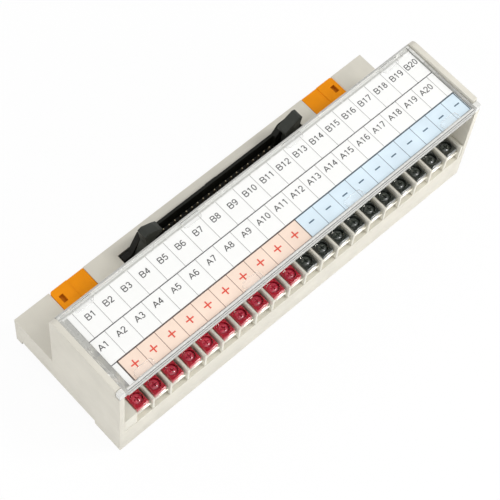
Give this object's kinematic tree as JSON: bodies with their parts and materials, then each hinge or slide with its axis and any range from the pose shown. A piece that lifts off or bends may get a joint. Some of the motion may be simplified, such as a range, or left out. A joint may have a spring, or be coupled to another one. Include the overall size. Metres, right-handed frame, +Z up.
{
  "type": "interface terminal block",
  "caption": "Long stepped screw-terminal block with a hinged clear cover over a marking label, a pin header with eject levers on its rear deck and a base that clips to a rail.",
  "frame": {"origin": "middle of the underside, on the plane of the feet", "axes": "+X along the block, -Y towards the terminal front, +Y towards the header deck, +Z up"},
  "size_m": [0.1576, 0.0522, 0.0475],
  "materials": {
    "case_grey": "satin moulded plastic",
    "floor_grey": "satin moulded plastic",
    "board_green": "coated circuit board",
    "strip_grey": "satin moulded plastic",
    "plated_metal": "plated",
    "red_plastic": "glossy",
    "black_plastic": "glossy",
    "red_screw": "glossy coat",
    "black_screw": "glossy coat",
    "steel_screw": "plated",
    "header_black": "satin",
    "pin_gold": "plated",
    "lever_black": "satin",
    "lock_orange": "satin",
    "cover_clear": "clear polycarbonate",
    "label_white": "printed paper"
  },
  "bodies": {
    "case": {"base_case": "case_grey", "bottom_cover": "floor_grey", "circuit_board": "board_green", "lower_terminal_strip": "strip_grey", "middle_terminal_strip": "strip_grey", "upper_terminal_strip": "strip_grey", "lower_terminal_plates": "plated_metal", "middle_terminal_plates": "plated_metal", "upper_terminal_plates": "plated_metal", "red_screw_holders": "red_plastic", "black_screw_holders": "black_plastic", "red_screws": "red_screw", "black_screws": "black_screw", "middle_screws": "steel_screw", "upper_screws": "steel_screw", "header_housing": "header_black", "header_pins": "pin_gold"},
    "cover": {"clear_cover": "cover_clear", "marking_label": "label_white"},
    "left_lever": {"left_lever": "lever_black"},
    "right_lever": {"right_lever": "lever_black"},
    "left_lock": {"left_rail_lock": "lock_orange"},
    "right_lock": {"right_rail_lock": "lock_orange"}
  },
  "joints": [
    {"name": "cover_hinge", "type": "hinge", "parent": "case", "child": "cover", "pos_m": [0, 0.00505, 0.0442], "axis": [-1, 0, 0], "range_deg": [0, 105]},
    {"name": "left_lever_pivot", "type": "hinge", "parent": "case", "child": "left_lever", "pos_m": [-0.03073, 0.0165, 0.017], "axis": [0, 1, 0], "range_deg": [-35, 12]},
    {"name": "right_lever_pivot", "type": "hinge", "parent": "case", "child": "right_lever", "pos_m": [0.03533, 0.0165, 0.017], "axis": [0, -1, 0], "range_deg": [-35, 12]},
    {"name": "left_lock_slide", "type": "slide", "parent": "case", "child": "left_lock", "axis": [0, 1, 0], "range_m": [0, 0.004]},
    {"name": "right_lock_slide", "type": "slide", "parent": "case", "child": "right_lock", "axis": [0, 1, 0], "range_m": [0, 0.004]}
  ]
}
